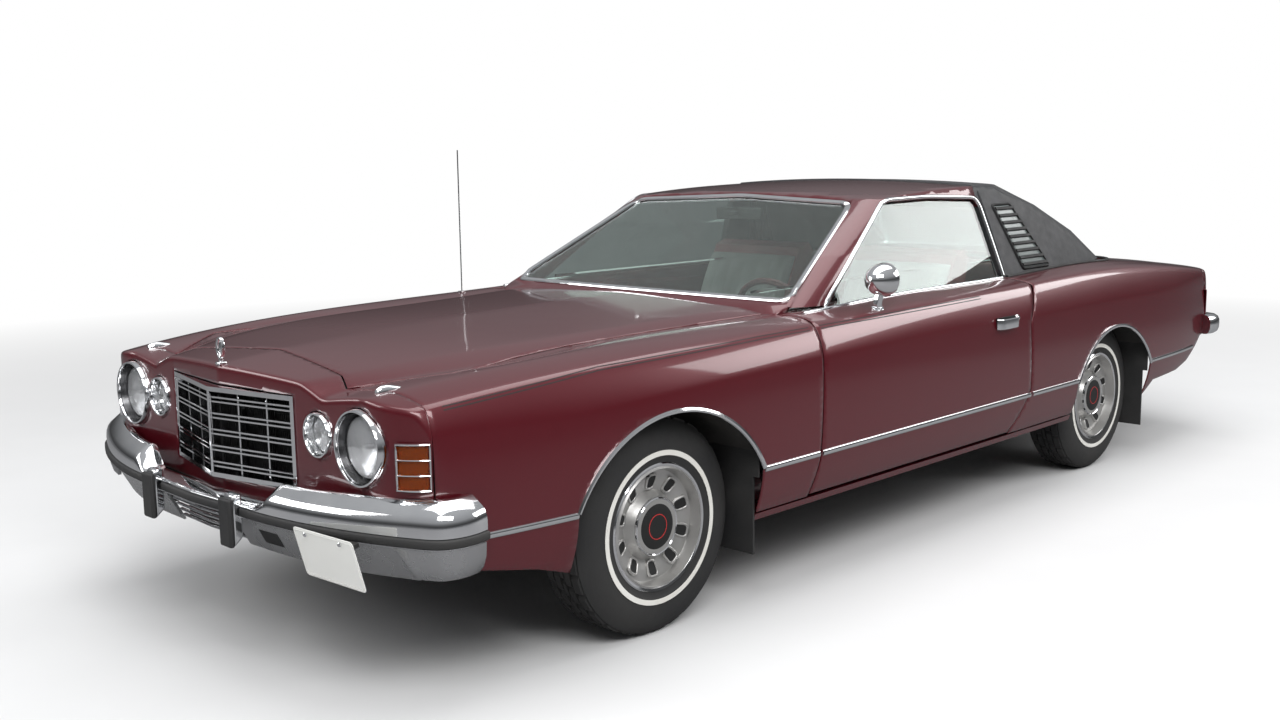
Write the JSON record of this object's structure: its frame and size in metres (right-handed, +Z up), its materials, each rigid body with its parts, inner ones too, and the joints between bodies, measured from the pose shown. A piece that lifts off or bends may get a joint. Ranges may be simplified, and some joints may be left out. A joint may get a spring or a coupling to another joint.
{
  "type": "two-door hardtop coupe",
  "caption": "Full-size 1970s two-door coupe with a long hood, prow grille, landau vinyl roof, slotted wheels, opening doors, hood and deck lid, and steered rolling wheels.",
  "frame": {"origin": "on the ground under the middle of the car's overall length and width", "axes": "+X towards the nose, +Y to the car's left side, +Z up"},
  "size_m": [5.469, 1.9548, 1.4899],
  "materials": {
    "paint": "maroon metallic enamel, high gloss",
    "vinyl": "black grained vinyl",
    "chrome": "bright plate",
    "dull_chrome": "dull silver paint",
    "glass": "green tinted",
    "lamp": "fluted lens",
    "red_lens": "red lens",
    "amber_lens": "amber lens",
    "rubber": "black, matt",
    "tyre": "black with a thin white wall",
    "wheel_silver": "silver enamel",
    "chassis_black": "black underbody paint",
    "iron": "rough casting",
    "exhaust_steel": "dull steel",
    "dash": "dark burgundy moulding",
    "seat_vinyl": "burgundy vinyl",
    "trim_vinyl": "dark burgundy vinyl"
  },
  "bodies": {
    "body": {"underbody": "chassis_black", "chassis_rails": "chassis_black", "cowl": "chassis_black", "wheelhouses": "chassis_black", "rocker_panels": "paint", "nose_panel": "paint", "tail_panel": "paint", "deck_filler": "paint", "roof_panel": "paint", "landau_roof": "vinyl", "windshield": "glass", "rear_window": "glass", "grille": "chrome", "front_lamps": "lamp", "tail_lamps": "red_lens", "side_markers": "amber_lens", "front_bumper": "chrome", "rear_bumper": "chrome", "front_valance": "dull_chrome", "bumper_guards": "chrome", "bumper_strip": "rubber", "engine": "iron", "suspension": "chassis_black", "driveline": "chassis_black", "exhaust": "exhaust_steel", "fuel_tank": "exhaust_steel", "gutters": "chassis_black", "dashboard": "dash", "front_seats": "seat_vinyl", "rear_seat": "seat_vinyl", "mud_flaps": "rubber", "antenna": "chrome", "package_shelf": "trim_vinyl", "rear_trims": "trim_vinyl", "fender_left": "paint", "quarter_left": "paint", "fender_right": "paint", "quarter_right": "paint"},
    "steering_wheel": {"steering_wheel": "dash"},
    "hood": {"hood": "paint"},
    "deck_lid": {"deck_lid": "paint"},
    "door_left": {"door_left": "paint", "door_glass_left": "glass", "door_mirror": "chrome"},
    "door_right": {"door_right": "paint", "door_glass_right": "glass"},
    "knuckle_left": {"knuckle_left": "chassis_black"},
    "knuckle_right": {"knuckle_right": "chassis_black"},
    "wheel_front_left": {"tyre_front_left": "tyre", "rim_front_left": "wheel_silver"},
    "wheel_front_right": {"tyre_front_right": "tyre", "rim_front_right": "wheel_silver"},
    "wheel_rear_left": {"tyre_rear_left": "tyre", "rim_rear_left": "wheel_silver"},
    "wheel_rear_right": {"tyre_rear_right": "tyre", "rim_rear_right": "wheel_silver"}
  },
  "joints": [
    {"name": "wheel_front_left_spin", "type": "hinge", "parent": "knuckle_left", "child": "wheel_front_left", "pos_m": [1.643, 0.786, 0.34], "axis": [0, 1, 0], "continuous": true},
    {"name": "wheel_front_right_spin", "type": "hinge", "parent": "knuckle_right", "child": "wheel_front_right", "pos_m": [1.643, -0.786, 0.34], "axis": [0, 1, 0], "continuous": true},
    {"name": "wheel_rear_left_spin", "type": "hinge", "parent": "body", "child": "wheel_rear_left", "pos_m": [-1.278, 0.786, 0.34], "axis": [0, 1, 0], "continuous": true},
    {"name": "wheel_rear_right_spin", "type": "hinge", "parent": "body", "child": "wheel_rear_right", "pos_m": [-1.278, -0.786, 0.34], "axis": [0, 1, 0], "continuous": true},
    {"name": "steer_left", "type": "hinge", "parent": "body", "child": "knuckle_left", "pos_m": [1.643, 0.74, 0.34], "axis": [0, 0, 1], "range_deg": [-35, 35]},
    {"name": "steer_right", "type": "hinge", "parent": "body", "child": "knuckle_right", "pos_m": [1.643, -0.74, 0.34], "axis": [0, 0, 1], "range_deg": [-35, 35]},
    {"name": "steering_wheel_turn", "type": "hinge", "parent": "body", "child": "steering_wheel", "pos_m": [0.425, 0.37, 0.8], "axis": [-0.9272, 0, 0.3746], "range_deg": [-560, 560]},
    {"name": "door_left_hinge", "type": "hinge", "parent": "body", "child": "door_left", "pos_m": [0.9, 0.962, 0.6], "axis": [0, 0, -1], "range_deg": [0, 65]},
    {"name": "door_right_hinge", "type": "hinge", "parent": "body", "child": "door_right", "pos_m": [0.9, -0.962, 0.6], "axis": [0, 0, 1], "range_deg": [0, 65]},
    {"name": "hood_hinge", "type": "hinge", "parent": "body", "child": "hood", "pos_m": [0.915, 0, 0.93], "axis": [0, -1, 0], "range_deg": [0, 50]},
    {"name": "deck_lid_hinge", "type": "hinge", "parent": "body", "child": "deck_lid", "pos_m": [-1.887, 0, 0.927], "axis": [0, 1, 0], "range_deg": [0, 60]}
  ],
  "couplings": [
    {"joint": "steer_right", "follows": "steer_left", "ratio": 1},
    {"joint": "steering_wheel_turn", "follows": "steer_left", "ratio": 16}
  ]
}
